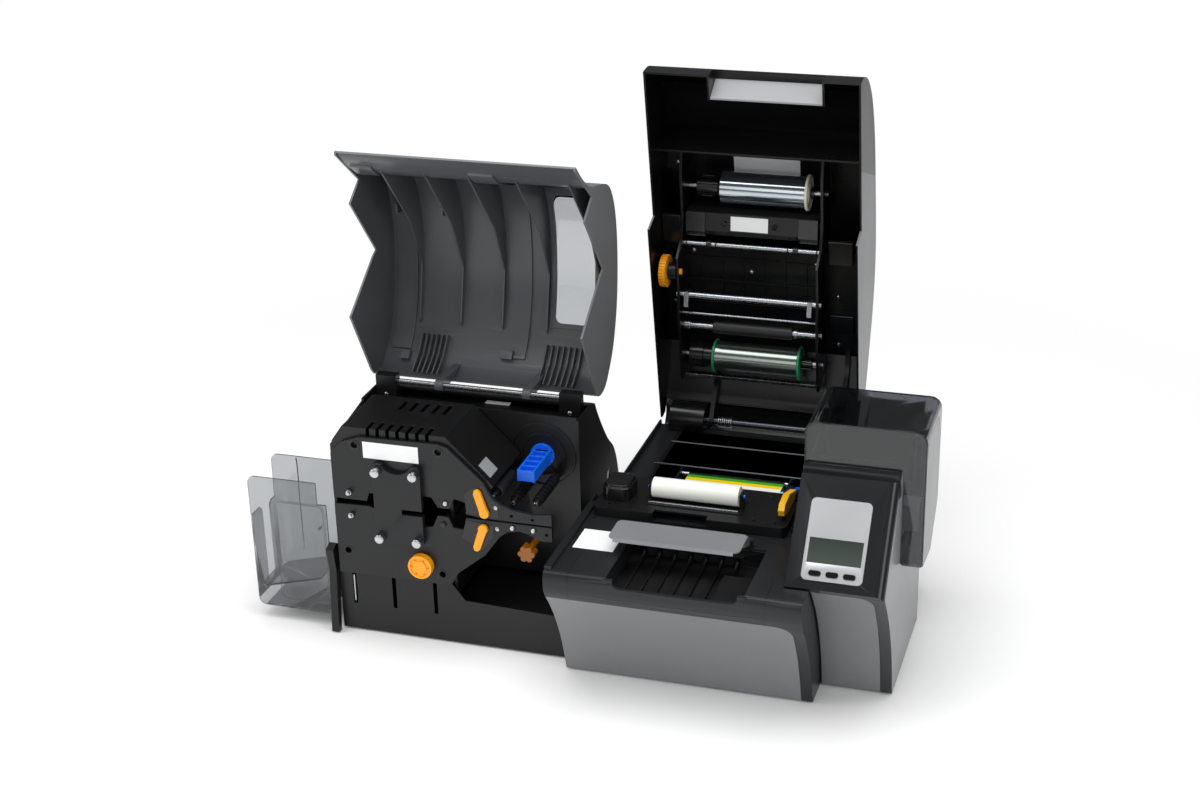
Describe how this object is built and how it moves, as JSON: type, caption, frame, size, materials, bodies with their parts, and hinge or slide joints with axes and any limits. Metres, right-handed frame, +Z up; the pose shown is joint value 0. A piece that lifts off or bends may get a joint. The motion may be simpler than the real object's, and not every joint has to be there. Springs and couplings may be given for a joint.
{
  "type": "id card printer",
  "caption": "Desktop retransfer card printer with in-line laminator, both covers raised, card feeder tower and clear output hopper.",
  "frame": {"origin": "on the table, under the middle of the machine with its covers raised", "axes": "+X along the machine from hopper to card feeder, +Y to the back, +Z up"},
  "size_m": [0.975, 0.6803, 0.7576],
  "materials": {
    "amber_plastic": "clear moulded",
    "black_moulding": "fine texture",
    "black_plate": "satin black",
    "black_rubber": "matt",
    "blue_plastic": "moulded",
    "dark_bezel": "satin moulded",
    "film_ribbon": "coated film",
    "film_silver": "mirror film",
    "grey_panel": "satin moulded",
    "lcd_glass": "polished",
    "lid_grey": "satin moulded",
    "light_smoke": "clear",
    "orange_plastic": "moulded",
    "pale_plastic": "moulded",
    "silver_plate": "metallic paint",
    "smoke_clear": "clear",
    "white_rubber": "matt",
    "yellow_plastic": "moulded",
    "zinc_steel": "bright zinc"
  },
  "bodies": {
    "machine": {"centre_housing": "dark_bezel", "base_pan": "black_moulding", "well_frame": "black_moulding", "feet": "black_rubber", "front_panel": "grey_panel", "front_bezel": "dark_bezel", "exit_tray": "black_moulding", "deck_plate": "black_moulding", "latch_block": "black_moulding", "metal_fittings": "zinc_steel", "cleaning_carrier": "black_moulding", "ribbon_film": "film_ribbon", "hinge_shaft": "zinc_steel", "hinge_drum": "black_moulding", "tower_housing": "dark_bezel", "tower_front_panel": "grey_panel", "control_bezel": "dark_bezel", "display_plate": "silver_plate", "display_window": "lcd_glass", "feeder_tray": "black_moulding", "feeder_side_cover": "grey_panel", "laminator_base": "black_moulding", "laminator_chassis": "black_moulding", "upper_plate": "black_plate", "lower_plate": "black_plate", "vented_cover": "black_moulding", "heater_cover": "black_plate", "thumb_screws": "zinc_steel", "film_idlers": "black_moulding", "lid_hinge_rod": "zinc_steel", "output_hopper": "light_smoke", "hopper_arm": "black_moulding"},
    "printer_lid": {"lid_shell": "lid_grey", "lid_liner": "black_moulding", "lid_grip_panel": "silver_plate", "pressure_block": "black_moulding", "lid_rods": "zinc_steel"},
    "film_supply": {"film_supply_spool": "film_silver"},
    "film_takeup": {"film_takeup_spool": "film_silver"},
    "transfer_roller": {"transfer_roller": "black_rubber"},
    "thumbwheel": {"lid_thumbwheel": "orange_plastic"},
    "cam_bar": {"cam_bar": "zinc_steel"},
    "exit_flap": {"exit_flap": "silver_plate"},
    "cleaning_roller": {"cleaning_roller": "white_rubber"},
    "ribbon_supply": {"ribbon_supply": "film_ribbon"},
    "ribbon_takeup": {"ribbon_takeup": "blue_plastic"},
    "release_lever": {"release_lever": "yellow_plastic"},
    "button_left": {"button_left": "black_moulding"},
    "button_middle": {"button_middle": "black_moulding"},
    "button_right": {"button_right": "black_moulding"},
    "feeder_cover": {"feeder_cover": "smoke_clear"},
    "card_weight": {"card_weight": "pale_plastic"},
    "upper_lever": {"upper_lever": "orange_plastic"},
    "lower_lever": {"lower_lever": "orange_plastic"},
    "drive_knob": {"drive_knob": "orange_plastic"},
    "feed_roller": {"feed_roller": "black_rubber"},
    "supply_hub": {"supply_hub": "blue_plastic"},
    "takeup_hub": {"takeup_hub": "amber_plastic"},
    "laminator_lid": {"laminator_lid": "lid_grey", "laminator_lid_window": "light_smoke"}
  },
  "joints": [
    {"name": "printer_lid_hinge", "type": "hinge", "parent": "machine", "child": "printer_lid", "pos_m": [0.1925, 0.24215, 0.178], "axis": [1, 0, 0], "range_deg": [0, 80]},
    {"name": "laminator_lid_hinge", "type": "hinge", "parent": "machine", "child": "laminator_lid", "pos_m": [-0.1875, -0.06185, 0.331], "axis": [1, 0, 0], "range_deg": [0, 120]},
    {"name": "film_supply_spin", "type": "hinge", "parent": "printer_lid", "child": "film_supply", "pos_m": [0.1525, 0.27394, 0.55627], "axis": [1, 0, 0], "continuous": true},
    {"name": "film_takeup_spin", "type": "hinge", "parent": "printer_lid", "child": "film_takeup", "pos_m": [0.1525, 0.26238, 0.28209], "axis": [1, 0, 0], "continuous": true},
    {"name": "transfer_roller_spin", "type": "hinge", "parent": "printer_lid", "child": "transfer_roller", "pos_m": [0.1525, 0.24443, 0.33782], "axis": [1, 0, 0], "continuous": true},
    {"name": "thumbwheel_spin", "type": "hinge", "parent": "printer_lid", "child": "thumbwheel", "pos_m": [0.0225, 0.22596, 0.43103], "axis": [1, 0, 0], "continuous": true},
    {"name": "cam_bar_swing", "type": "hinge", "parent": "printer_lid", "child": "cam_bar", "pos_m": [0.1525, 0.23389, 0.39182], "axis": [1, 0, 0], "range_deg": [-30, 0]},
    {"name": "exit_flap_hinge", "type": "hinge", "parent": "machine", "child": "exit_flap", "pos_m": [0.1625, -0.19885, 0.206], "axis": [1, 0, 0], "range_deg": [-60, 0]},
    {"name": "cleaning_roller_spin", "type": "hinge", "parent": "machine", "child": "cleaning_roller", "pos_m": [0.1575, -0.11685, 0.233], "axis": [1, 0, 0], "continuous": true},
    {"name": "ribbon_supply_spin", "type": "hinge", "parent": "machine", "child": "ribbon_supply", "pos_m": [0.1825, -0.02185, 0.16], "axis": [1, 0, 0], "continuous": true},
    {"name": "ribbon_takeup_spin", "type": "hinge", "parent": "machine", "child": "ribbon_takeup", "pos_m": [0.1825, 0.03815, 0.158], "axis": [1, 0, 0], "continuous": true},
    {"name": "release_lever_hinge", "type": "hinge", "parent": "machine", "child": "release_lever", "pos_m": [0.2845, -0.07185, 0.223], "axis": [1, 0, 0], "range_deg": [-55, 0]},
    {"name": "button_left_press", "type": "slide", "parent": "machine", "child": "button_left", "axis": [0, 0.7688, -0.6395], "range_m": [0, 0.0012], "stiffness_N_per_m": 400, "springref_m": -0.0002},
    {"name": "button_middle_press", "type": "slide", "parent": "machine", "child": "button_middle", "axis": [0, 0.7688, -0.6395], "range_m": [0, 0.0012], "stiffness_N_per_m": 400, "springref_m": -0.0002},
    {"name": "button_right_press", "type": "slide", "parent": "machine", "child": "button_right", "axis": [0, 0.7688, -0.6395], "range_m": [0, 0.0012], "stiffness_N_per_m": 400, "springref_m": -0.0002},
    {"name": "feeder_cover_hinge", "type": "hinge", "parent": "machine", "child": "feeder_cover", "pos_m": [0.3925, -0.05685, 0.331], "axis": [1, 0, 0], "range_deg": [-70, 0]},
    {"name": "card_weight_slide", "type": "slide", "parent": "machine", "child": "card_weight", "axis": [0, 0, 1], "range_m": [0, 0.05]},
    {"name": "upper_lever_turn", "type": "hinge", "parent": "machine", "child": "upper_lever", "pos_m": [-0.1175, -0.24185, 0.223], "axis": [0, 1, 0], "range_deg": [0, 40]},
    {"name": "lower_lever_turn", "type": "hinge", "parent": "machine", "child": "lower_lever", "pos_m": [-0.1205, -0.24185, 0.198], "axis": [0, 1, 0], "range_deg": [-40, 0]},
    {"name": "drive_knob_spin", "type": "hinge", "parent": "machine", "child": "drive_knob", "pos_m": [-0.2175, -0.24185, 0.128], "axis": [0, 1, 0], "continuous": true},
    {"name": "feed_roller_spin", "type": "hinge", "parent": "machine", "child": "feed_roller", "pos_m": [-0.1815, -0.20185, 0.196], "axis": [0, 1, 0], "continuous": true},
    {"name": "supply_hub_spin", "type": "hinge", "parent": "machine", "child": "supply_hub", "pos_m": [-0.0725, -0.14185, 0.262], "axis": [0, 1, 0], "continuous": true},
    {"name": "takeup_hub_spin", "type": "hinge", "parent": "machine", "child": "takeup_hub", "pos_m": [-0.0825, -0.18185, 0.129], "axis": [0, 1, 0], "continuous": true}
  ],
  "couplings": [
    {"joint": "feed_roller_spin", "follows": "drive_knob_spin", "ratio": -1},
    {"joint": "thumbwheel_spin", "follows": "transfer_roller_spin", "ratio": -1}
  ]
}
